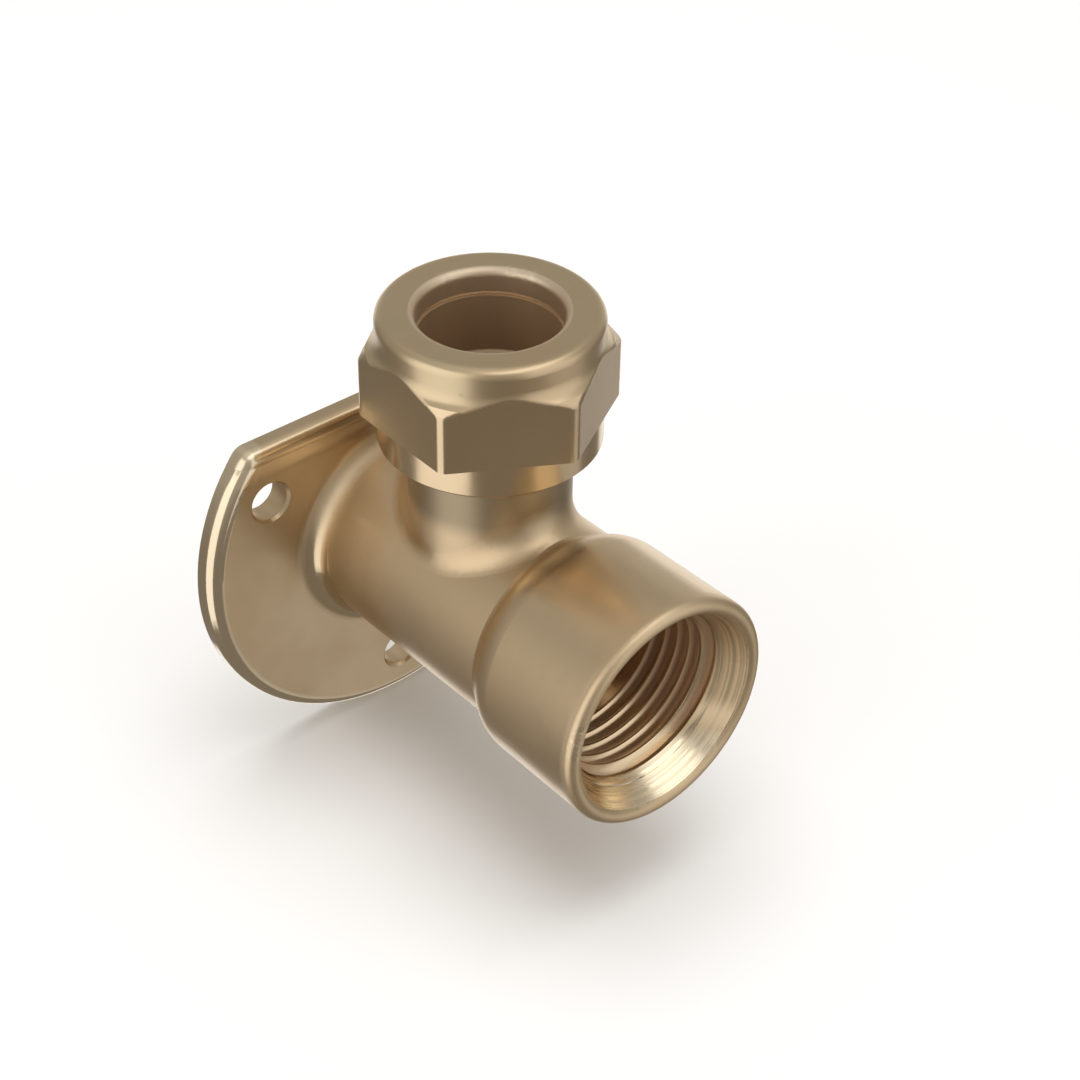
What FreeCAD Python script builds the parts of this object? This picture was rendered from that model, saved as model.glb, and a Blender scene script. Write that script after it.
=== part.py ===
import FreeCAD, Part
import math
import os
from FreeCAD import Vector

os.makedirs("parts", exist_ok=True)

# Wall plate elbow for 15 mm tube, in millimetres.
# The origin is the middle of the plate's back face, which lies on the wall. +Y points into the
# wall, -Y out into the room, where the socket opens, and +Z up, where the branch takes the tube.

# Wall plate
PLATE_R = 25.5
PLATE_DROP = 0.3
PLATE_T = 3.0
PLATE_TOP = 16.4
PLATE_CORNER_R = 1.8
PLATE_EDGE_R = 1.5
PLATE_BACK_CHAMFER = 0.25
SCREW_HOLE_R = 2.3
SCREW_HOLE_RIM = 0.3
SCREW_CIRCLE_R = 19.7
SCREW_ANGLES = (30, 150, 270)

# Barrel and socket, on the Y axis
BARREL_R = 11.75
BARREL_ROOT_R = 2.3
MOUTH_Y = 48.2
SOCKET_WALL = 3.02
SOCKET_TAPER = 0.15
SHOULDER_Y = 31.0
SHOULDER_ROUND_R = 5.0
SHOULDER_CREASE_R = 1.0
MOUTH_LIP_R = 0.95

# The socket's thread is a plain wall here, at the root radius of the 14 per inch pipe thread
SOCKET_THREAD_R = 10.48
SOCKET_THREAD_DEPTH = 12.4
LEAD_IN_DEPTH = 2.9
WATERWAY_R = 6.5
WATERWAY_PAST_BRANCH = 7.0
DRILL_HALF_ANGLE = 59

# Branch, on an upright axis, built round its tube socket. Its thread is a plain wall too.
BRANCH_Y = 19.5
TUBE_SOCKET_R = 7.6
TUBE_STOP_Z = 19.6
TUBE_STOP_WIDTH = 1.4
BRANCH_WALL = 1.65
NECK_STEP = 0.45
CROTCH_R = 3.4
THREAD_START_Z = 19.3
THREAD_DEPTH = 1.16
THREAD_CLEARANCE = 0.07
BRANCH_TOP_Z = 27.0
BRANCH_TIP_CHAMFER = 0.3
SEAT_WIDTH = 1.2
SEAT_HALF_ANGLE = 30

# Compression nut, 24 mm across its flats
NUT_WALL = 1.42
NUT_FLAT_STEP = 0.1
NUT_CORNER_ANGLE = 29.06
NUT_BOTTOM_Z = 19.8
NUT_HEX_Z = 23.85
NUT_HEIGHT = 15.5
NUT_SKIRT_CHAMFER = 0.6
NUT_COLLAR_INSET = 0.1
NUT_COLLAR_ROUND_R = 1.1
NUT_COLLAR_HEIGHT = 2.6
NUT_HOLLOW_R = 1.8
NUT_CHAMFER_ANGLE = 38
NUT_CORNER_R = 1.3
NUT_CHAMFER_EDGE_R = 0.5
NUT_HOLE_CLEARANCE = 0.1
NUT_HOLE_RIM_R = 0.9
NUT_THREAD_TOP_Z = 30.4
NUT_MOUTH_CHAMFER = 0.5

# Olive
OLIVE_END_WALL = 0.35
OLIVE_HEIGHT = 6.6
OLIVE_BAND_HEIGHT = 3.2
OLIVE_TAPER_ANGLE = 26
OLIVE_CLEARANCE = 0.03

# What follows from the sizes above
SOCKET_R = SOCKET_THREAD_R + SOCKET_WALL
SOCKET_THREAD_Y = MOUTH_Y - LEAD_IN_DEPTH
BRANCH_ROOT_R = TUBE_SOCKET_R + BRANCH_WALL
NECK_R = BRANCH_ROOT_R - NECK_STEP
BRANCH_WATERWAY_R = TUBE_SOCKET_R - TUBE_STOP_WIDTH
SEAT_SLOPE = math.tan(math.radians(SEAT_HALF_ANGLE))
SEAT_FOOT_Z = BRANCH_TOP_Z - SEAT_WIDTH / SEAT_SLOPE
NUT_THREAD_R = BRANCH_ROOT_R + THREAD_DEPTH + THREAD_CLEARANCE
NUT_TOP_Z = NUT_BOTTOM_Z + NUT_HEIGHT
NUT_SKIRT_R = NUT_THREAD_R + NUT_WALL
NUT_FLATS = 2 * (NUT_SKIRT_R + NUT_FLAT_STEP)
NUT_COLLAR_R = NUT_FLATS / 2 - NUT_COLLAR_INSET
NUT_HOLE_R = TUBE_SOCKET_R + NUT_HOLE_CLEARANCE
OLIVE_END_R = TUBE_SOCKET_R + OLIVE_END_WALL
OLIVE_FOOT_Z = SEAT_FOOT_Z + (OLIVE_END_WALL + OLIVE_CLEARANCE) / SEAT_SLOPE
OLIVE_TOP_Z = OLIVE_FOOT_Z + OLIVE_HEIGHT
NUT_CONE_TOP_Z = OLIVE_TOP_Z + (OLIVE_END_R - NUT_HOLE_R + OLIVE_CLEARANCE) / SEAT_SLOPE
NUT_CONE_MOUTH_R = NUT_HOLE_R + (NUT_CONE_TOP_Z - NUT_THREAD_TOP_Z) * SEAT_SLOPE

UP = Vector(0, 0, 1)
INTO_WALL = Vector(0, 1, 0)
BRANCH_FOOT = Vector(0, -BRANCH_Y, 0)
PLATE_CENTRE = Vector(0, 0, -PLATE_DROP)


def outline(place, *steps):
    """A closed face from (radius, height) points. A step of two points is an arc through the first."""
    start = steps[0]
    here = start
    edges = []
    for step in steps[1:] + (start,):
        if isinstance(step[0], tuple):
            middle, end = step
            edges.append(Part.Arc(place(*here), place(*middle), place(*end)).toShape())
        else:
            end = step
            edges.append(Part.LineSegment(place(*here), place(*end)).toShape())
        here = end
    return Part.Face(Part.Wire(edges))


def on_barrel(radius, outward):
    """A point of a section through the barrel's axis. Outward is the distance from the wall."""
    return Vector(radius, -outward, 0)


def on_branch(radius, height):
    """A point of a section through the branch's axis."""
    return Vector(radius, -BRANCH_Y, height)


def turned_on_barrel(*steps):
    return outline(on_barrel, *steps).revolve(Vector(0, 0, 0), INTO_WALL, 360)


def turned_on_branch(*steps):
    return outline(on_branch, *steps).revolve(BRANCH_FOOT, UP, 360)


def round_point(centre_r, centre_h, radius, degrees):
    """A point of a round with its centre in a turned section, 0 degrees facing away from the axis."""
    turn = math.radians(degrees)
    return (centre_r + radius * math.cos(turn), centre_h + radius * math.sin(turn))


def edges_where(shape, test):
    """The edges whose middle and ends all pass the test."""
    found = []
    for edge in shape.Edges:
        first, last = edge.ParameterRange
        points = [edge.valueAt(first + (last - first) * share) for share in (0.0, 0.5, 1.0)]
        if all(test(point) for point in points):
            found.append(edge)
    return found


def from_branch_axis(point):
    return math.hypot(point.x, point.y + BRANCH_Y)


def from_barrel_axis(point):
    return math.hypot(point.x, point.z)


# The plate is a disc with its top cut flat, set a little below the barrel's axis. Its front edge is a
# full round, and its back edge a fine bevel.
def wall_plate():
    disc = Part.makeCylinder(PLATE_R, PLATE_T, PLATE_CENTRE - INTO_WALL * PLATE_T, INTO_WALL)
    above = Part.makeBox(4 * PLATE_R, 4 * PLATE_T, PLATE_R, Vector(-2 * PLATE_R, -2 * PLATE_T, PLATE_TOP))
    plate = disc.cut(above)

    def on_corner(point):
        on_disc = abs(math.hypot(point.x, point.z + PLATE_DROP) - PLATE_R) < 0.01
        return on_disc and abs(point.z - PLATE_TOP) < 0.01

    plate = plate.makeFillet(PLATE_CORNER_R, edges_where(plate, on_corner))
    plate = plate.makeFillet(PLATE_EDGE_R, edges_where(plate, lambda point: abs(point.y + PLATE_T) < 0.01))
    return plate.makeChamfer(PLATE_BACK_CHAMFER, edges_where(plate, lambda point: abs(point.y) < 0.01))


# The barrel's root flares into the plate, and the branch's foot is blended into the barrel.
def barrel_and_branch():
    root_turn = round_point(BARREL_R + BARREL_ROOT_R, PLATE_T + BARREL_ROOT_R, BARREL_ROOT_R, 225)
    barrel = turned_on_barrel(
        (0, PLATE_BACK_CHAMFER),
        (BARREL_R + BARREL_ROOT_R, PLATE_BACK_CHAMFER),
        (BARREL_R + BARREL_ROOT_R, PLATE_T),
        (root_turn, (BARREL_R, PLATE_T + BARREL_ROOT_R)),
        (BARREL_R, SHOULDER_Y + SHOULDER_CREASE_R),
        (0, SHOULDER_Y + SHOULDER_CREASE_R),
    )
    neck = turned_on_branch(
        (0, 0),
        (NECK_R, 0),
        (NECK_R, THREAD_START_Z - BRANCH_ROOT_R + NECK_R),
        (BRANCH_ROOT_R, THREAD_START_Z),
        (BRANCH_ROOT_R, BRANCH_TOP_Z - BRANCH_TIP_CHAMFER),
        (BRANCH_ROOT_R - BRANCH_TIP_CHAMFER, BRANCH_TOP_Z),
        (0, BRANCH_TOP_Z),
    )
    joined = barrel.fuse(neck)

    def in_crotch(point):
        on_neck = abs(from_branch_axis(point) - NECK_R) < 0.01
        return on_neck and abs(from_barrel_axis(point) - BARREL_R) < 0.01

    room = BRANCH_Y - NECK_R - PLATE_T - BARREL_ROOT_R
    return joined.makeFillet(min(CROTCH_R, 0.9 * room), edges_where(joined, in_crotch))


# The socket swells out of the barrel in a soft shoulder and ends in a full round lip. The lead-in is
# the cone that touches the lip's round and ends at the thread.
def socket():
    shoulder_r = SOCKET_R - SOCKET_TAPER
    rise = math.degrees(math.acos(1 - (shoulder_r - BARREL_R) / SHOULDER_ROUND_R))
    shoulder_rise = SHOULDER_ROUND_R * math.sin(math.radians(rise))
    shoulder_centre = (shoulder_r - SHOULDER_ROUND_R, SHOULDER_Y + shoulder_rise)
    lip_centre = (SOCKET_R - MOUTH_LIP_R, MOUTH_Y - MOUTH_LIP_R)
    lip_r_off = lip_centre[0] - SOCKET_THREAD_R
    lip_y_off = lip_centre[1] - SOCKET_THREAD_Y
    lean = math.atan2(lip_y_off, lip_r_off) + math.asin(MOUTH_LIP_R / math.hypot(lip_r_off, lip_y_off))
    touch = 90 + math.degrees(lean)
    return turned_on_barrel(
        (0, SHOULDER_Y),
        (BARREL_R, SHOULDER_Y),
        (
            round_point(*shoulder_centre, SHOULDER_ROUND_R, -rise / 2),
            round_point(*shoulder_centre, SHOULDER_ROUND_R, 0),
        ),
        (SOCKET_R, MOUTH_Y - MOUTH_LIP_R),
        (
            round_point(*lip_centre, MOUTH_LIP_R, touch / 2),
            round_point(*lip_centre, MOUTH_LIP_R, touch),
        ),
        (SOCKET_THREAD_R, SOCKET_THREAD_Y),
        (0, SOCKET_THREAD_Y),
    )


# The threaded length and the waterway, drilled past the branch and blind at the wall.
def barrel_bore():
    thread_end = SOCKET_THREAD_Y - SOCKET_THREAD_DEPTH
    drill_slope = math.tan(math.radians(DRILL_HALF_ANGLE))
    waterway_end = BRANCH_Y - WATERWAY_PAST_BRANCH
    return turned_on_barrel(
        (0, SOCKET_THREAD_Y),
        (SOCKET_THREAD_R, SOCKET_THREAD_Y),
        (SOCKET_THREAD_R, thread_end),
        (WATERWAY_R, thread_end - (SOCKET_THREAD_R - WATERWAY_R) / drill_slope),
        (WATERWAY_R, waterway_end),
        (0, waterway_end - WATERWAY_R / drill_slope),
    )


# The conical seat, the tube socket down to its stop and the waterway into the barrel.
def branch_bore():
    return turned_on_branch(
        (0, 0),
        (BRANCH_WATERWAY_R, 0),
        (BRANCH_WATERWAY_R, TUBE_STOP_Z),
        (TUBE_SOCKET_R, TUBE_STOP_Z),
        (TUBE_SOCKET_R, SEAT_FOOT_Z),
        (TUBE_SOCKET_R + SEAT_WIDTH, BRANCH_TOP_Z),
        (TUBE_SOCKET_R + SEAT_WIDTH, BRANCH_TOP_Z + 1),
        (0, BRANCH_TOP_Z + 1),
    )


def screw_hole(degrees):
    turn = math.radians(degrees)
    centre = PLATE_CENTRE + Vector(math.cos(turn), 0, math.sin(turn)) * SCREW_CIRCLE_R
    drilled = Part.makeCylinder(SCREW_HOLE_R, 3 * PLATE_T, centre - INTO_WALL * (2 * PLATE_T), INTO_WALL)
    rim = Part.makeCone(
        SCREW_HOLE_R, SCREW_HOLE_R + 2 * SCREW_HOLE_RIM, 2 * SCREW_HOLE_RIM,
        centre - INTO_WALL * (PLATE_T - SCREW_HOLE_RIM), -INTO_WALL,
    )
    return drilled.fuse(rim)


def body():
    casting = wall_plate().fuse(barrel_and_branch()).fuse(socket()).removeSplitter()

    def in_crease(point):
        return abs(-point.y - SHOULDER_Y) < 0.01 and abs(from_barrel_axis(point) - BARREL_R) < 0.01

    casting = casting.makeFillet(SHOULDER_CREASE_R, edges_where(casting, in_crease))
    casting = casting.cut(barrel_bore()).cut(branch_bore())
    for degrees in SCREW_ANGLES:
        casting = casting.cut(screw_hole(degrees))
    return casting


# Below the collar the nut's section is a hollow, which runs on into the chamfer of the corners.
def nut_turned(beyond):
    collar_centre = (NUT_COLLAR_R - NUT_COLLAR_ROUND_R, NUT_TOP_Z - NUT_COLLAR_ROUND_R)
    hollow_centre = (NUT_COLLAR_R + NUT_HOLLOW_R, NUT_TOP_Z - NUT_COLLAR_HEIGHT)
    chamfer_top = round_point(*hollow_centre, NUT_HOLLOW_R, 270 - NUT_CHAMFER_ANGLE)
    chamfer_foot_z = chamfer_top[1] - (beyond - chamfer_top[0]) * math.tan(math.radians(NUT_CHAMFER_ANGLE))
    return turned_on_branch(
        (0, NUT_BOTTOM_Z),
        (NUT_SKIRT_R - NUT_SKIRT_CHAMFER, NUT_BOTTOM_Z),
        (NUT_SKIRT_R, NUT_BOTTOM_Z + NUT_SKIRT_CHAMFER),
        (NUT_SKIRT_R, NUT_HEX_Z),
        (beyond, NUT_HEX_Z),
        (beyond, chamfer_foot_z),
        chamfer_top,
        (
            round_point(*hollow_centre, NUT_HOLLOW_R, 225 - NUT_CHAMFER_ANGLE / 2),
            round_point(*hollow_centre, NUT_HOLLOW_R, 180),
        ),
        (NUT_COLLAR_R, collar_centre[1]),
        (round_point(*collar_centre, NUT_COLLAR_ROUND_R, 45), (collar_centre[0], NUT_TOP_Z)),
        (0, NUT_TOP_Z),
    )


# The threaded bore, the cone that closes on the olive, and the tube hole with its round rim.
def nut_bore():
    rim_r = min(NUT_HOLE_RIM_R, 0.9 * (NUT_TOP_Z - NUT_CONE_TOP_Z))
    rim_centre = (NUT_HOLE_R + rim_r, NUT_TOP_Z - rim_r)
    return turned_on_branch(
        (0, NUT_BOTTOM_Z - 1),
        (NUT_THREAD_R + NUT_MOUTH_CHAMFER, NUT_BOTTOM_Z - 1),
        (NUT_THREAD_R + NUT_MOUTH_CHAMFER, NUT_BOTTOM_Z),
        (NUT_THREAD_R, NUT_BOTTOM_Z + NUT_MOUTH_CHAMFER),
        (NUT_THREAD_R, NUT_THREAD_TOP_Z),
        (NUT_CONE_MOUTH_R, NUT_THREAD_TOP_Z),
        (NUT_HOLE_R, NUT_CONE_TOP_Z),
        (NUT_HOLE_R, rim_centre[1]),
        (round_point(*rim_centre, rim_r, 135), (rim_centre[0], NUT_TOP_Z)),
        (rim_centre[0], NUT_TOP_Z + 1),
        (0, NUT_TOP_Z + 1),
    )


# The nut is turned from hexagon bar, which leaves six flats with rounded edges above a round skirt.
def compression_nut():
    corner_r = NUT_FLATS / math.sqrt(3)
    corners = []
    for k in range(7):
        turn = math.radians(NUT_CORNER_ANGLE + 60 * k)
        out = Vector(math.cos(turn), math.sin(turn), 0)
        corners.append(BRANCH_FOOT + UP * NUT_BOTTOM_Z + out * corner_r)
    bar = Part.Face(Part.makePolygon(corners)).extrude(UP * (NUT_TOP_Z - NUT_BOTTOM_Z))
    uprights = edges_where(bar, lambda point: from_branch_axis(point) > corner_r - 0.01)
    bar = bar.makeFillet(NUT_CORNER_R, uprights)
    nut = bar.common(nut_turned(corner_r + 1))

    def above_the_flats(point):
        return point.z > NUT_HEX_Z + 0.1 and from_branch_axis(point) > NUT_FLATS / 2 - 0.01

    chamfer_edges = [edge for edge in edges_where(nut, above_the_flats) if edge.BoundBox.ZLength > 0.02]
    nut = nut.makeFillet(NUT_CHAMFER_EDGE_R, chamfer_edges)
    return nut.cut(nut_bore())


# The olive is a ring with two tapered ends, which seat in the branch and the nut, and a plain bore.
def olive():
    taper = (OLIVE_HEIGHT - OLIVE_BAND_HEIGHT) / 2
    band_r = OLIVE_END_R + taper * math.tan(math.radians(OLIVE_TAPER_ANGLE))
    return turned_on_branch(
        (TUBE_SOCKET_R, OLIVE_FOOT_Z),
        (OLIVE_END_R, OLIVE_FOOT_Z),
        (band_r, OLIVE_FOOT_Z + taper),
        (band_r, OLIVE_TOP_Z - taper),
        (OLIVE_END_R, OLIVE_TOP_Z),
        (TUBE_SOCKET_R, OLIVE_TOP_Z),
    )


for name, piece in (("body", body()), ("compression_nut", compression_nut()), ("olive", olive())):
    solid = piece.Solids[0]
    state = "valid" if solid.isValid() else "broken"
    print(name, len(piece.Solids), "solid", round(solid.Volume, 1), "mm3", state)
    solid.exportStep("parts/" + name + ".step")
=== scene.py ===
import math

import bmesh
import bpy
from mathutils import Matrix, Vector


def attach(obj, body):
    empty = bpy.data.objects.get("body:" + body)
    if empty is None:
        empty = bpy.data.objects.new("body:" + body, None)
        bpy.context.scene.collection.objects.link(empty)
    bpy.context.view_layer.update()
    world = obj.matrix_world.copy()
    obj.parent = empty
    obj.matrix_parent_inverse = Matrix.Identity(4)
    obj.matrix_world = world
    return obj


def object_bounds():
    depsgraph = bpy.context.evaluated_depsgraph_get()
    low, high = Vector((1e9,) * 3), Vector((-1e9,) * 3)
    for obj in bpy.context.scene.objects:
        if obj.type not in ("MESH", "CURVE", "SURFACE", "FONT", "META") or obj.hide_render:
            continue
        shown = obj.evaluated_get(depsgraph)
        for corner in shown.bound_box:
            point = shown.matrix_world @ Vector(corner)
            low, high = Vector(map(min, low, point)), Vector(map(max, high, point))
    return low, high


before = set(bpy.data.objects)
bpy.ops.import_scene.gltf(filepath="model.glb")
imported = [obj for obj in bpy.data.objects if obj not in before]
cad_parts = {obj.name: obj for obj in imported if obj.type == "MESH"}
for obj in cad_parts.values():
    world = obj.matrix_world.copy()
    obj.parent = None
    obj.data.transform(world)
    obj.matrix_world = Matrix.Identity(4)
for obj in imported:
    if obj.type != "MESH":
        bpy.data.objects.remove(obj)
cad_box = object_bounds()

# Body: one brass casting of wall plate, barrel, socket and branch, tumbled with stones after casting.
# The tumbling leaves a satin skin with faint dimples. The mouth and the bores are cut bright later.
MM = 0.001
BRANCH_FOOT = Vector((0, -19.5, 0)) * MM


def add_node(tree, kind, settings=None, **sockets):
    """A node with its settings and its input sockets set, each from a value or from another node's output."""
    made = tree.nodes.new(kind)
    for name, value in (settings or {}).items():
        setattr(made, name, value)
    for name, value in sockets.items():
        socket = made.inputs[int(name[1:])] if name[1:].isdigit() else made.inputs[name.replace("_", " ")]
        if isinstance(value, bpy.types.NodeSocket):
            tree.links.new(value, socket)
        else:
            socket.default_value = value
    return made


def calculate(tree, operation, *values):
    """One step of arithmetic on one to three values."""
    sockets = {f"n{index}": value for index, value in enumerate(values)}
    return add_node(tree, "ShaderNodeMath", {"operation": operation}, **sockets).outputs[0]


def vector_step(tree, operation, *vectors):
    """One step of arithmetic on one or two vectors. It returns all the outputs of the node."""
    sockets = {f"n{index}": vector for index, vector in enumerate(vectors)}
    return add_node(tree, "ShaderNodeVectorMath", {"operation": operation}, **sockets).outputs


def distance(tree, first, second):
    """How far a point lies from an axis, from its two coordinates across that axis."""
    squares = [calculate(tree, "MULTIPLY", part, part) for part in (first, second)]
    return calculate(tree, "SQRT", calculate(tree, "ADD", *squares))


def below(tree, value, limit):
    """1 below the limit and 0 above it."""
    return calculate(tree, "LESS_THAN", value, limit)


def above(tree, value, limit):
    """1 above the limit and 0 below it."""
    return calculate(tree, "GREATER_THAN", value, limit)


def soft_step(tree, value, start, end):
    """0 before the start and 1 past the end, with a smooth slope between them."""
    settings = {"interpolation_type": "SMOOTHSTEP"}
    return add_node(tree, "ShaderNodeMapRange", settings, n0=value, n1=start, n2=end).outputs[0]


def overlap(tree, *masks):
    """Where all the masks hold."""
    shared, *others = masks
    for mask in others:
        shared = calculate(tree, "MULTIPLY", shared, mask)
    return shared


def blend(tree, share, first, second):
    """A value between two others."""
    return add_node(tree, "ShaderNodeMix", {"data_type": "FLOAT"}, n0=share, n2=first, n3=second).outputs[0]


def blend_colour(tree, share, first, second):
    """A colour between two others."""
    return add_node(tree, "ShaderNodeMix", {"data_type": "RGBA"}, n0=share, n6=first, n7=second).outputs[2]


def effect_group(name, inputs, outputs):
    """An empty shader node group, with the sockets that its own nodes take from and give to."""
    group = bpy.data.node_groups.new(name, "ShaderNodeTree")
    for socket, kind in inputs:
        group.interface.new_socket(name=socket, in_out="INPUT", socket_type=kind)
    for socket in outputs:
        group.interface.new_socket(name=socket, in_out="OUTPUT", socket_type="NodeSocketFloat")
    return group, group.nodes.new("NodeGroupInput").outputs, group.nodes.new("NodeGroupOutput").inputs


def use_group(tree, group, **sockets):
    """A node group placed in a material."""
    return add_node(tree, "ShaderNodeGroup", {"node_tree": group}, **sockets)


def new_finish(name, metallic=1.0):
    """A material, its tree, the inputs of its shader and the point on the surface."""
    material = bpy.data.materials.new(name)
    material.use_nodes = True
    tree = material.node_tree
    tree.nodes.clear()
    shader = add_node(tree, "ShaderNodeBsdfPrincipled", Metallic=metallic)
    add_node(tree, "ShaderNodeOutputMaterial", Surface=shader.outputs["BSDF"])
    return material, tree, shader.inputs, tree.nodes.new("ShaderNodeTexCoord").outputs["Object"]


def dress(piece, material):
    """Gives a piece one material."""
    piece.data.materials.clear()
    piece.data.materials.append(material)


# Clouds are the slow change of tone over brass, and dimples are what tumbling leaves.
CLOUD_FINENESS = 70.0
CLOUD_EDGES = (0.3, 0.7)
tumbled, given, result = effect_group(
    "tumbled", [("Vector", "NodeSocketVector"), ("Fineness", "NodeSocketFloat")], ["Clouds", "Dimples"]
)
clouds = add_node(tumbled, "ShaderNodeTexNoise", Vector=given["Vector"], Scale=CLOUD_FINENESS,
                  Detail=3.0, Roughness=0.6)
dimples = add_node(tumbled, "ShaderNodeTexNoise", Vector=given["Vector"], Scale=given["Fineness"], Detail=2.0)
tumbled.links.new(soft_step(tumbled, clouds.outputs["Fac"], *CLOUD_EDGES), result["Clouds"])
tumbled.links.new(dimples.outputs["Fac"], result["Dimples"])

# Rings are what a lathe tool leaves round the Z axis of the vector that comes in. They step both outwards
# and along the axis, so they show on faces and on walls.
STEP_ALONG_AXIS = 1.7
lathe_rings, given, result = effect_group(
    "lathe_rings", [("Vector", "NodeSocketVector"), ("Fineness", "NodeSocketFloat")], ["Rings"]
)
x, y, z = add_node(lathe_rings, "ShaderNodeSeparateXYZ", Vector=given["Vector"]).outputs
along_tool = calculate(lathe_rings, "MULTIPLY_ADD", z, STEP_ALONG_AXIS, distance(lathe_rings, x, y))
rings = add_node(lathe_rings, "ShaderNodeTexNoise", {"noise_dimensions": "1D"}, W=along_tool,
                 Scale=given["Fineness"], Detail=2.0, Roughness=0.6)
lathe_rings.links.new(rings.outputs["Fac"], result["Rings"])

# Knocks roughen an edge round one spot, as far as their reach. The nicks are 1 and all else is 0.
NICK_FINENESS = 1300.0
NICK_EDGES = (0.40, 0.64)
REACH_FADES = (1.0, 0.2)
knocks, given, result = effect_group(
    "knocks", [("Vector", "NodeSocketVector"), ("Spot", "NodeSocketVector"), ("Reach", "NodeSocketFloat")],
    ["Nicks"]
)
grain = add_node(knocks, "ShaderNodeTexNoise", Vector=given["Vector"], Scale=NICK_FINENESS,
                 Detail=4.0, Roughness=0.65)
away = vector_step(knocks, "DISTANCE", given["Vector"], given["Spot"])["Value"]
near = soft_step(knocks, calculate(knocks, "DIVIDE", away, given["Reach"]), *REACH_FADES)
dents_and_glints = overlap(knocks, soft_step(knocks, grain.outputs["Fac"], *NICK_EDGES), near)
knocks.links.new(dents_and_glints, result["Nicks"])


def knocked(tree, point, spots):
    """The nicks of several knocks, each given by its spot and its reach in mm."""
    found = 0.0
    for spot, reach in spots:
        knock = use_group(tree, knocks, Vector=point, Spot=Vector(spot) * MM, Reach=reach * MM)
        found = calculate(tree, "MAXIMUM", found, knock.outputs["Nicks"])
    return found


# The casting's own skin, and the marks of the tool that turned its mouth.
BRASS = (0.78, 0.615, 0.405, 1)
BRASS_DULL = (0.70, 0.535, 0.34, 1)
CAST_DIMPLES = 700.0
CAST_ROUGHNESS = (0.36, 0.27)
RING_FINENESS = 4000.0
STREAK_FINENESS = 2200.0
STREAK_EDGES = (0.35, 0.65)
cast_brass, tree, shader, point = new_finish("cast_brass")
x, y, z = add_node(tree, "ShaderNodeSeparateXYZ", Vector=point).outputs
from_axis = distance(tree, x, z)
from_branch = distance(tree, x, calculate(tree, "SUBTRACT", y, BRANCH_FOOT.y))
skin = use_group(tree, tumbled, Vector=point, Fineness=CAST_DIMPLES).outputs
on_axis = add_node(tree, "ShaderNodeMapping", Vector=point, Rotation=(math.pi / 2, 0, 0)).outputs[0]
ring = use_group(tree, lathe_rings, Vector=on_axis, Fineness=RING_FINENESS).outputs["Rings"]
coarse_ring = use_group(tree, lathe_rings, Vector=on_axis, Fineness=STREAK_FINENESS).outputs["Rings"]
streaks = soft_step(tree, coarse_ring, *STREAK_EDGES)

# The mouth is cut in two steps: a lead-in cone, and the thread behind it. Below, both are painted lighter as
# painted highlight.
# Above, both are painted browner as painted shade, and the lead-in is duller there.
CUT_FROM_Y = -33.0 * MM
CUT_RADIUS = 11.75 * MM
THREAD_MAJOR_R = 10.48 * MM
THREAD_WALL_RADIUS = 10.52 * MM
LEAD_IN_END = 45.3 * MM
LEAD_IN_SLOPE = 0.514
CONE_STEP = (0.06 * MM, 0.16 * MM)
PAINTED_LIGHT_BELOW_Z = (-7.4 * MM, -9.0 * MM)
LEAD_IN_DULL_FROM_Z = (-6.4 * MM, -4.0 * MM)
LEAD_IN_ROUGHNESS = (0.16, 0.34)
LEAD_IN_DULL = 0.50
THREAD_ROUGHNESS = (0.46, 0.26)
# Painted shade: this darker tone stands for shade at the top of the mouth and on the neck under the nut.
BRASS_PAINTED_SHADE = (0.44, 0.35, 0.235, 1)
# Bare worn brass and painted highlight: this bright tone is painted highlight on the bottom of the mouth and
# the barrel's root, and wear with painted glints on the plate's edge and the knocks.
BRASS_WEAR_AND_HIGHLIGHT = (0.90, 0.77, 0.56, 1)
# The thread's two tones: painted shade above and painted highlight below.
THREAD_PAINTED_SHADE_TONE = (0.70, 0.50, 0.33, 1)
THREAD_PAINTED_LIGHT_TONE = (0.88, 0.69, 0.46, 1)
in_mouth = below(tree, y, CUT_FROM_Y)
cut = overlap(tree, below(tree, from_axis, CUT_RADIUS), in_mouth)
cone = calculate(tree, "MULTIPLY_ADD", y, -LEAD_IN_SLOPE, THREAD_MAJOR_R - LEAD_IN_END * LEAD_IN_SLOPE)
off_cone = soft_step(tree, calculate(tree, "SUBTRACT", from_axis, cone), *CONE_STEP)
thread = overlap(tree, below(tree, from_axis, THREAD_WALL_RADIUS), in_mouth, off_cone)
# Painted light: below this height the mouth is painted lighter, and above it darker.
painted_light_below = soft_step(tree, z, *PAINTED_LIGHT_BELOW_Z)
lead_in_tone = blend_colour(tree, streaks, BRASS_PAINTED_SHADE, BRASS_DULL)
lead_in_tone = blend_colour(tree, painted_light_below, lead_in_tone, BRASS_WEAR_AND_HIGHLIGHT)
lead_in_polish = blend(tree, streaks, *LEAD_IN_ROUGHNESS)
lead_in_polish = blend(tree, soft_step(tree, z, *LEAD_IN_DULL_FROM_Z), lead_in_polish, LEAD_IN_DULL)
thread_tone = blend_colour(tree, painted_light_below, THREAD_PAINTED_SHADE_TONE, THREAD_PAINTED_LIGHT_TONE)
thread_polish = blend(tree, painted_light_below, *THREAD_ROUGHNESS)

# The lip round the mouth is dull, with a few knocks on its left: dented, and painted bright as painted
# glints.
LIP_FROM_Y = (-46.4 * MM, -46.9 * MM)
LIP_ROUGHNESS = 0.42
LIP_DENTS_AND_GLINTS = (((-12.1, -47.9, 4.4), 1.2), ((-12.4, -47.9, 3.0), 1.3), ((-12.5, -47.8, 1.6), 1.1))
lip = overlap(tree, soft_step(tree, y, *LIP_FROM_Y), above(tree, from_axis, CUT_RADIUS))
dents_and_glints = knocked(tree, point, LIP_DENTS_AND_GLINTS)
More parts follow.
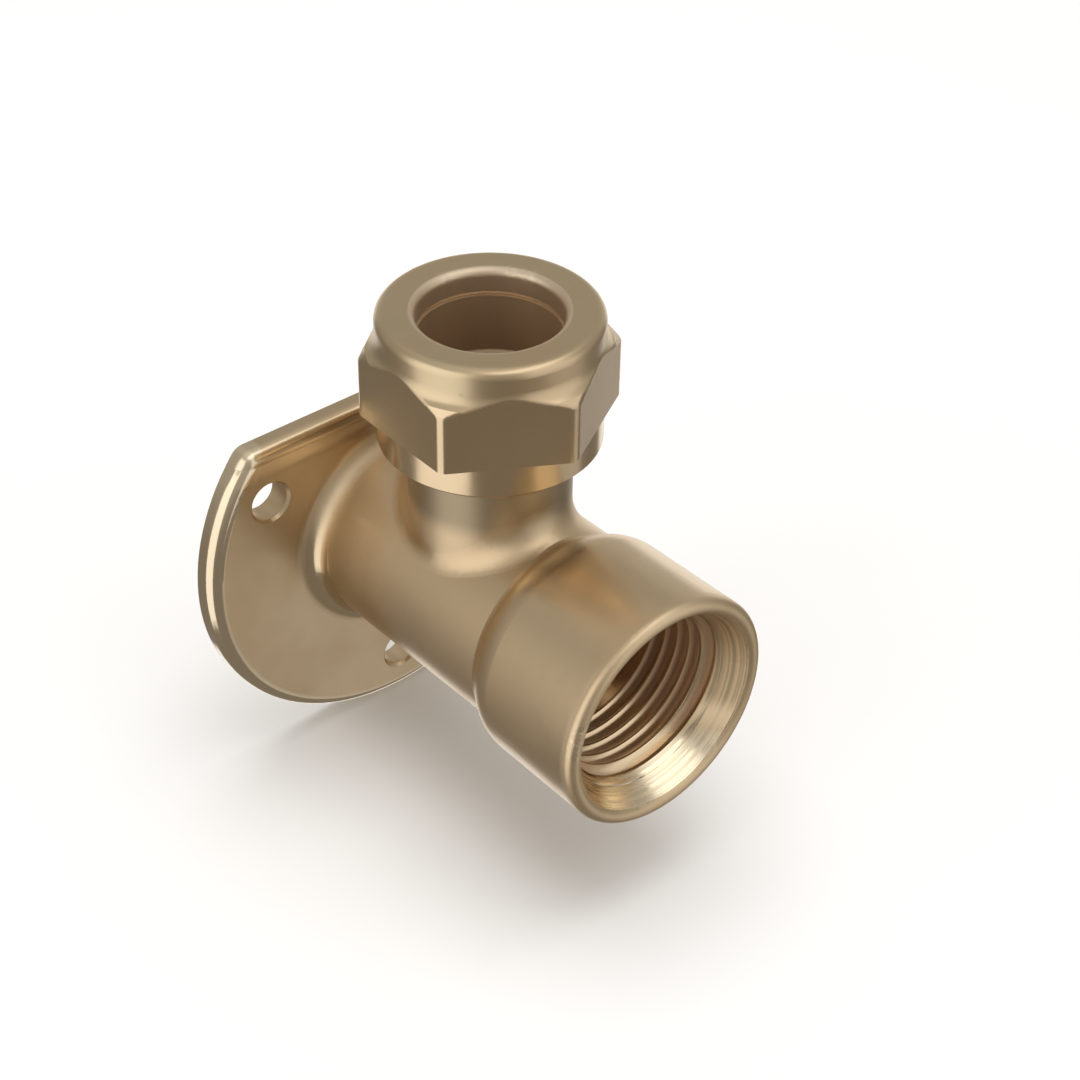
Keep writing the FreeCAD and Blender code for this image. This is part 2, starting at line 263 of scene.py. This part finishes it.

# The branch: its drilled bore, its neck under the nut painted darker as painted shade, and the duller crotch
# below.
BORE_RADIUS = 8.4 * MM
BORE_BOTTOM = 12.0 * MM
BORE_ROUGHNESS = 0.48
BRASS_BORE = (0.80, 0.655, 0.49, 1)
NECK_RADIUS = (13.6 * MM, 11.8 * MM)
NECK_BOTTOM = (11.8 * MM, 14.6 * MM)
CROTCH_RADIUS = (15.5 * MM, 12.5 * MM)
CROTCH_BOTTOM = (8.5 * MM, 11.0 * MM)
CROTCH_ROUGHNESS = 0.42
bore = overlap(tree, below(tree, from_branch, BORE_RADIUS), above(tree, z, BORE_BOTTOM))
# Painted shade: the neck just under the nut is painted darker.
painted_shade_under_nut = overlap(tree, soft_step(tree, from_branch, *NECK_RADIUS), soft_step(tree, z, *NECK_BOTTOM))
crotch = overlap(tree, soft_step(tree, from_branch, *CROTCH_RADIUS), soft_step(tree, z, *CROTCH_BOTTOM))

# The plate: its round edge is worn and painted brighter as painted highlight, and its flat top is smoother
# than its face, which falls softly towards it. The barrel's root is painted a little brighter as painted
# highlight, and is glossy below and dull above.
PLATE_CENTRE_Z = -0.3 * MM
PLATE_FRONT = -3.2 * MM
PLATE_FACE = -2.9 * MM
PLATE_BACK = -0.3 * MM
PLATE_EDGE = (23.7 * MM, 24.2 * MM)
EDGE_ROUGHNESS = 0.13
# Painted highlight as well as wear: how far the round edge is lightened.
EDGE_WEAR_AND_HIGHLIGHT = 0.8
PLATE_TOP = (14.6 * MM, 15.1 * MM)
TOP_ROUGHNESS = 0.24
TOP_FALL = (12.9 * MM, 14.85 * MM)
TOP_FALL_DEPTH = 0.38 * MM
TOP_FALL_POWER = 1.4
ROOT_RADIUS = (13.3 * MM, 12.7 * MM)
ROOT_FRONT = (-6.5 * MM, -5.0 * MM)
ROOT_DULL_FROM_Z = (0.0 * MM, 7.0 * MM)
ROOT_ROUGHNESS = (0.17, 0.50)
# Painted highlight: how far the root is lightened.
ROOT_PAINTED_HIGHLIGHT = 0.3
on_plate = overlap(tree, above(tree, y, PLATE_FRONT), below(tree, y, PLATE_BACK))
from_centre = distance(tree, x, calculate(tree, "SUBTRACT", z, PLATE_CENTRE_Z))
rim = overlap(tree, soft_step(tree, from_centre, *PLATE_EDGE), on_plate)
top = overlap(tree, soft_step(tree, z, *PLATE_TOP), on_plate)
root = overlap(tree, soft_step(tree, from_axis, *ROOT_RADIUS), soft_step(tree, y, *ROOT_FRONT),
               below(tree, y, PLATE_FACE))
root_polish = blend(tree, soft_step(tree, z, *ROOT_DULL_FROM_Z), *ROOT_ROUGHNESS)
fall = add_node(tree, "ShaderNodeMapRange", n0=z, n1=TOP_FALL[0], n2=TOP_FALL[1]).outputs[0]
fall = overlap(tree, calculate(tree, "POWER", fall, TOP_FALL_POWER), on_plate)

# All of these lie over the skin, one after the other.
DIMPLE_DEPTH = 0.012 * MM
RING_DEPTH = 0.0012 * MM
NICK_DEPTH = 0.02 * MM
tone = blend_colour(tree, skin["Clouds"], BRASS_DULL, BRASS)
for mask, colour in (
    (calculate(tree, "MULTIPLY", rim, EDGE_WEAR_AND_HIGHLIGHT), BRASS_WEAR_AND_HIGHLIGHT),
    (calculate(tree, "MULTIPLY", root, ROOT_PAINTED_HIGHLIGHT), BRASS_WEAR_AND_HIGHLIGHT),
    (dents_and_glints, BRASS_WEAR_AND_HIGHLIGHT),
    (painted_shade_under_nut, BRASS_PAINTED_SHADE),
    (cut, lead_in_tone),
    (thread, thread_tone),
    (bore, BRASS_BORE),
):
    tone = blend_colour(tree, mask, tone, colour)
tree.links.new(tone, shader["Base Color"])
polish = blend(tree, skin["Clouds"], *CAST_ROUGHNESS)
for mask, roughness in (
    (crotch, CROTCH_ROUGHNESS),
    (root, root_polish),
    (rim, EDGE_ROUGHNESS),
    (top, TOP_ROUGHNESS),
    (lip, LIP_ROUGHNESS),
    (dents_and_glints, EDGE_ROUGHNESS),
    (cut, lead_in_polish),
    (thread, thread_polish),
    (bore, BORE_ROUGHNESS),
):
    polish = blend(tree, mask, polish, roughness)
tree.links.new(polish, shader["Roughness"])
height = blend(tree, cut, calculate(tree, "MULTIPLY", skin["Dimples"], DIMPLE_DEPTH),
               calculate(tree, "MULTIPLY", ring, RING_DEPTH))
for mask, depth in ((fall, TOP_FALL_DEPTH), (dents_and_glints, NICK_DEPTH)):
    height = calculate(tree, "SUBTRACT", height, calculate(tree, "MULTIPLY", mask, depth))
bump = add_node(tree, "ShaderNodeBump", Height=height, Distance=1.0)
tree.links.new(bump.outputs[0], shader["Normal"])
dress(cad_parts["body"], cast_brass)

# Socket thread: the pipe thread cut in the casting, 14 turns an inch, with its crests rounded by the tap.
# The lead-in cone cuts the first turn off, and the last turn fades out where the tap stopped.
PITCH = 25.4 / 14 * MM
BARREL_AXIS = Vector((0, -1, 0))
SOCKET_CREST_R = 9.32 * MM
SOCKET_THREAD_START = 33.6 * MM
SOCKET_THREAD_TURNS = 7.0
SOCKET_THREAD_ANGLE = math.radians(-84)
SOCKET_THREAD_FADES = (0.6, 0.1)
THREAD_STEPS = 96
RIDGE_HALF_SECTION = ((0.5, 0.0), (0.40, 0.10), (0.255, 0.52), (0.11, 0.93), (0.05, 1.0))
RIDGE_SINK = 0.04 * MM


def thread_ridge(name, foot, axis, angle, start, turns, root_r, crest_r, fades, cone=None):
    """A right-hand helical ridge on a round wall. Its ends fade over shares of a turn, or end at a cone."""
    bm = bmesh.new()
    side = Matrix.Rotation(angle, 3, axis) @ Vector((1, 0, 0))
    sunk_r = root_r + math.copysign(RIDGE_SINK, root_r - crest_r)
    section = [(-along, rise) for along, rise in RIDGE_HALF_SECTION]
    section += [(along, rise) for along, rise in reversed(RIDGE_HALF_SECTION)]
    corners = [(along, root_r + (crest_r - root_r) * rise) for along, rise in section]
    corners += [(0.5, sunk_r), (-0.5, sunk_r)]
    verts = [bm.verts.new(foot + axis * (start + along * PITCH) + side * radius) for along, radius in corners]
    loop = [bm.edges.new(pair) for pair in zip(verts, verts[1:] + verts[:1])]
    steps = round(turns * THREAD_STEPS)
    bmesh.ops.spin(bm, geom=verts + loop, cent=foot, axis=axis, dvec=axis * (PITCH / THREAD_STEPS),
                   angle=math.tau * turns, steps=steps)
    fade_in, fade_out = (fade * THREAD_STEPS for fade in fades)
    for index, vert in enumerate(bm.verts):
        step = index // len(verts)
        share = min(1, step / fade_in, (steps - step) / fade_out)
        from_foot = vert.co - foot
        along = from_foot.dot(axis)
        outwards = from_foot - axis * along
        faded = sunk_r + (outwards.length - sunk_r) * share * share * (3 - 2 * share)
        if cone:
            faded = max(faded, cone(along))
        vert.co = foot + axis * along + outwards * (faded / outwards.length)
    bmesh.ops.holes_fill(bm, edges=[edge for edge in bm.edges if edge.is_boundary])
    bmesh.ops.recalc_face_normals(bm, faces=bm.faces)
    mesh = bpy.data.meshes.new(name)
    bm.to_mesh(mesh)
    bm.free()
    for face in mesh.polygons:
        face.use_smooth = True
    piece = bpy.data.objects.new(name, mesh)
    bpy.context.scene.collection.objects.link(piece)
    return piece


def lead_in(along):
    """The radius of the lead-in's cone, carried on into the thread and sunk a little where it is the wall."""
    radius = THREAD_MAJOR_R + (along - LEAD_IN_END) * LEAD_IN_SLOPE
    return radius + RIDGE_SINK if along > LEAD_IN_END else radius


socket_thread = thread_ridge(
    "socket_thread", Vector((0, 0, 0)), BARREL_AXIS, SOCKET_THREAD_ANGLE, SOCKET_THREAD_START,
    SOCKET_THREAD_TURNS, THREAD_MAJOR_R, SOCKET_CREST_R, SOCKET_THREAD_FADES, lead_in,
)
dress(socket_thread, cast_brass)
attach(socket_thread, "fitting")

# Branch thread: cut on the outside of the branch for the nut, at the same pitch as the socket's.
# It shows once the nut is unscrewed.
BRANCH_AXIS = Vector((0, 0, 1))
MALE_ROOT_R = 9.25 * MM
MALE_CREST_R = 10.38 * MM
BRANCH_THREAD_START = 19.9 * MM
BRANCH_THREAD_TURNS = 3.75
BRANCH_THREAD_FADES = (0.4, 0.3)
branch_thread = thread_ridge(
    "branch_thread", BRANCH_FOOT, BRANCH_AXIS, 0.0, BRANCH_THREAD_START, BRANCH_THREAD_TURNS,
    MALE_ROOT_R, MALE_CREST_R, BRANCH_THREAD_FADES,
)
dress(branch_thread, cast_brass)
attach(branch_thread, "fitting")

# Compression nut: turned from drawn hexagon bar. The lathe leaves fine rings on its collar, hollow and
# skirt, and the flats keep the smooth skin of the bar.
BAR_DIMPLES = 500.0
BAR_DIMPLE_DEPTH = 0.004 * MM
NUT_ROUGHNESS = (0.25, 0.17)
turned_brass, tree, shader, point = new_finish("turned_brass")
skin = use_group(tree, tumbled, Vector=point, Fineness=BAR_DIMPLES).outputs
on_axis = add_node(tree, "ShaderNodeMapping", Vector=point, Location=-BRANCH_FOOT).outputs[0]
ring = use_group(tree, lathe_rings, Vector=on_axis, Fineness=RING_FINENESS).outputs["Rings"]
x, y, z = add_node(tree, "ShaderNodeSeparateXYZ", Vector=on_axis).outputs
from_branch = distance(tree, x, y)
normal = tree.nodes.new("ShaderNodeNewGeometry").outputs["Normal"]
facing_up = add_node(tree, "ShaderNodeSeparateXYZ", Vector=normal).outputs["Z"]

# The collar and the hollow below it have a greener patina, out to the corners of the hexagon. The corners
# were cut by a steeper tool, so there the surface drops away from the hollow.
COLLAR_FROM_Z = 28.5 * MM
COLLAR_RADIUS = 11.97 * MM
COLLAR_ROUGHNESS = 0.32
FACING_UP = (0.03, 0.3)
CORNER_RADIUS = (12.75 * MM, 12.95 * MM)
CORNER_DROP = -0.62
PATINA = (0.64, 0.535, 0.345, 1)
turned = calculate(tree, "MAXIMUM", below(tree, from_branch, COLLAR_RADIUS),
                   soft_step(tree, facing_up, *FACING_UP))
turned = overlap(tree, turned, above(tree, z, COLLAR_FROM_Z),
                 soft_step(tree, from_branch, *reversed(CORNER_RADIUS)))
corner = overlap(tree, soft_step(tree, from_branch, *CORNER_RADIUS), facing_up)

# The tube hole is drilled, and its rim has a few knocks: dented, and painted bright as painted glints.
RIM_DENTS_AND_GLINTS = (((0.5, 7.9, 34.9), 1.3), ((7.4, 2.9, 34.9), 1.4), ((6.5, 4.5, 34.9), 1.3))
bore = below(tree, from_branch, BORE_RADIUS)
dents_and_glints = knocked(tree, on_axis, RIM_DENTS_AND_GLINTS)
tone = blend_colour(tree, skin["Clouds"], BRASS_DULL, BRASS)
for mask, colour in (
    (overlap(tree, turned, skin["Clouds"]), PATINA),
    (bore, BRASS_BORE),
    (dents_and_glints, BRASS_WEAR_AND_HIGHLIGHT),
):
    tone = blend_colour(tree, mask, tone, colour)
tree.links.new(tone, shader["Base Color"])
polish = blend(tree, skin["Clouds"], *NUT_ROUGHNESS)
for mask, roughness in ((turned, COLLAR_ROUGHNESS), (bore, BORE_ROUGHNESS)):
    polish = blend(tree, mask, polish, roughness)
tree.links.new(polish, shader["Roughness"])
height = calculate(tree, "ADD", calculate(tree, "MULTIPLY", skin["Dimples"], BAR_DIMPLE_DEPTH),
                   calculate(tree, "MULTIPLY", ring, RING_DEPTH))
height = calculate(tree, "SUBTRACT", height, calculate(tree, "MULTIPLY", dents_and_glints, NICK_DEPTH))
bump = add_node(tree, "ShaderNodeBump", Height=height, Distance=1.0)
drop = add_node(tree, "ShaderNodeCombineXYZ", Z=calculate(tree, "MULTIPLY", corner, CORNER_DROP))
facet = vector_step(tree, "ADD", bump.outputs[0], drop.outputs[0])[0]
tree.links.new(vector_step(tree, "NORMALIZE", facet)[0], shader["Normal"])
dress(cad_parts["compression_nut"], turned_brass)

# Nut thread: tapped in the nut, half a pitch from the ridge of the branch, so that the two mesh.
# It rides on the nut and leaves the branch with it.
NUT_CREST_R = 9.36 * MM
NUT_THREAD_TURNS = 5.0
NUT_THREAD_FADES = (0.3, 0.5)
nut_thread = thread_ridge(
    "nut_thread", BRANCH_FOOT, BRANCH_AXIS, 0.0, BRANCH_THREAD_START + 0.5 * PITCH, NUT_THREAD_TURNS,
    THREAD_MAJOR_R, NUT_CREST_R, NUT_THREAD_FADES,
)
dress(nut_thread, turned_brass)
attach(nut_thread, "nut")

# Olive: a ring of softer brass, turned bright from rod. It slides over the tube, and the nut squeezes it
# between its inner cone and the branch's seat until it grips.
SOFT_BRASS = (0.84, 0.67, 0.43, 1)
OLIVE_ROUGHNESS = (0.2, 0.14)
OLIVE_BORE_RADIUS = 8.2 * MM
soft_brass, tree, shader, point = new_finish("soft_brass")
skin = use_group(tree, tumbled, Vector=point, Fineness=BAR_DIMPLES).outputs
on_axis = add_node(tree, "ShaderNodeMapping", Vector=point, Location=-BRANCH_FOOT).outputs[0]
ring = use_group(tree, lathe_rings, Vector=on_axis, Fineness=RING_FINENESS).outputs["Rings"]
x, y, _ = add_node(tree, "ShaderNodeSeparateXYZ", Vector=on_axis).outputs
bore = below(tree, distance(tree, x, y), OLIVE_BORE_RADIUS)
tone = blend_colour(tree, skin["Clouds"], BRASS, SOFT_BRASS)
tree.links.new(blend_colour(tree, bore, tone, BRASS_BORE), shader["Base Color"])
polish = blend(tree, skin["Clouds"], *OLIVE_ROUGHNESS)
tree.links.new(blend(tree, bore, polish, BORE_ROUGHNESS), shader["Roughness"])
bump = add_node(tree, "ShaderNodeBump", Height=calculate(tree, "MULTIPLY", ring, RING_DEPTH), Distance=1.0)
tree.links.new(bump.outputs[0], shader["Normal"])
dress(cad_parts["olive"], soft_brass)

# Floor: a plain pale table, round, with its edge far outside the picture.
# It is left out of the reflections, as a cut-out picture leaves it out.
FLOOR_RADIUS = 1.5
FLOOR_SIDES = 64
PALE = (0.92, 0.92, 0.92, 1)
FLOOR_ROUGHNESS = 0.9
bm = bmesh.new()
bmesh.ops.create_circle(bm, cap_ends=True, segments=FLOOR_SIDES, radius=FLOOR_RADIUS)
bmesh.ops.translate(bm, verts=bm.verts, vec=(0, 0, cad_box[0].z))
mesh = bpy.data.meshes.new("floor")
bm.to_mesh(mesh)
bm.free()
floor = bpy.data.objects.new("floor", mesh)
bpy.context.scene.collection.objects.link(floor)
floor_paint, _, shader, _ = new_finish("floor_paint", metallic=0.0)
shader["Base Color"].default_value = PALE
shader["Roughness"].default_value = FLOOR_ROUGHNESS
shader["Specular IOR Level"].default_value = 0.0
dress(floor, floor_paint)
floor.visible_glossy = False
floor.visible_shadow = False

# Light tent: soft panels round the object, on pale cloth that is darker below.
# A panel is its azimuth and half width, its lowest and highest elevation in degrees, and its strength.
PANELS = (
    (180, 27, -48, 42, 0.90),
    (291, 26, -22, 50, 0.50),
    (288, 60, 54, 74, 0.90),
    (50, 34, -62, -4, 0.80),
    (312, 20, -52, -26, 0.27),
    (45, 40, -2, 22, 0.14),
)
PANEL_EDGE = 5
ROOF_FROM = (30.0, 75.0)
ROOF_STRENGTH = 0.25
CLOTH_LOW = (0.215, 0.195, 0.17, 1)
CLOTH_HIGH = (0.37, 0.355, 0.33, 1)
CLOTH_CHANGES = (-25.0, 20.0)
WHITE = (1, 1, 1, 1)
tent = bpy.data.worlds.new("light_tent")
bpy.context.scene.world = tent
tent.use_nodes = True
tree = tent.node_tree
tree.nodes.clear()
direction = tree.nodes.new("ShaderNodeTexCoord").outputs["Generated"]
x, y, z = add_node(tree, "ShaderNodeSeparateXYZ", Vector=direction).outputs
elevation = calculate(tree, "DEGREES", calculate(tree, "ARCSINE", z))
azimuth = calculate(tree, "DEGREES", calculate(tree, "ARCTAN2", y, x))
light = calculate(tree, "MULTIPLY", soft_step(tree, elevation, *ROOF_FROM), ROOF_STRENGTH)
for middle, half_width, low, high, strength in PANELS:
    off = calculate(tree, "WRAP", calculate(tree, "SUBTRACT", azimuth, middle), 180.0, -180.0)
    panel = overlap(
        tree,
        soft_step(tree, calculate(tree, "ABSOLUTE", off), half_width + PANEL_EDGE, half_width),
        soft_step(tree, elevation, low - PANEL_EDGE, low),
        soft_step(tree, elevation, high + PANEL_EDGE, high),
    )
    light = calculate(tree, "MULTIPLY_ADD", panel, strength, light)
cloth = blend_colour(tree, soft_step(tree, elevation, *CLOTH_CHANGES), CLOTH_LOW, CLOTH_HIGH)
shade = add_node(tree, "ShaderNodeBackground", Color=cloth)
panels = add_node(tree, "ShaderNodeBackground", Color=WHITE, Strength=light)
studio = add_node(tree, "ShaderNodeAddShader", n0=shade.outputs[0], n1=panels.outputs[0])
backdrop = add_node(tree, "ShaderNodeBackground", Color=WHITE)
seen = tree.nodes.new("ShaderNodeLightPath").outputs["Is Camera Ray"]
either = add_node(tree, "ShaderNodeMixShader", n0=seen, n1=studio.outputs[0], n2=backdrop.outputs[0])
add_node(tree, "ShaderNodeOutputWorld", Surface=either.outputs[0])
bpy.context.scene.view_settings.view_transform = "Standard"

# Floor lamp: a wide disc above, which whitens the floor and leaves a soft shadow on it.
# It is left out of the reflections too.
LAMP_POWER = 4.6
LAMP_HEIGHT = 0.9
LAMP_SIZE = 0.8
lamp_data = bpy.data.lights.new("floor_lamp", "AREA")
lamp_data.energy = LAMP_POWER
lamp_data.shape = "DISK"
lamp_data.size = LAMP_SIZE
floor_lamp = bpy.data.objects.new("floor_lamp", lamp_data)
floor_lamp.location = (0, 0, LAMP_HEIGHT)
floor_lamp.visible_glossy = False
bpy.context.scene.collection.objects.link(floor_lamp)

# Camera: placed by fitting the object's outlines to those of the picture.
# Its focal length is in the picture's own pixels.
CAMERA_AZIMUTH = math.radians(-41.31)
CAMERA_ELEVATION = math.radians(37.32)
CAMERA_ROLL = math.radians(0.94)
CAMERA_DISTANCE = 267.2 * MM
CAMERA_TARGET = Vector((6.74, -20.0, 2.85)) * MM
FOCAL_LENGTH_PX = 2414.8
PICTURE_PX = 1080
SENSOR_WIDTH = 36
NEAREST = 10 * MM
camera_data = bpy.data.cameras.new("camera")
camera_data.sensor_width = SENSOR_WIDTH
camera_data.lens = SENSOR_WIDTH * FOCAL_LENGTH_PX / PICTURE_PX
camera_data.clip_start = NEAREST
camera = bpy.data.objects.new("camera", camera_data)
bpy.context.scene.collection.objects.link(camera)
aim = (Matrix.Rotation(CAMERA_AZIMUTH, 4, "Z") @ Matrix.Rotation(math.pi / 2 - CAMERA_ELEVATION, 4, "X")
       @ Matrix.Rotation(CAMERA_ROLL, 4, "Z"))
camera.matrix_world = Matrix.Translation(CAMERA_TARGET) @ aim @ Matrix.Translation((0, 0, CAMERA_DISTANCE))
bpy.context.scene.camera = camera
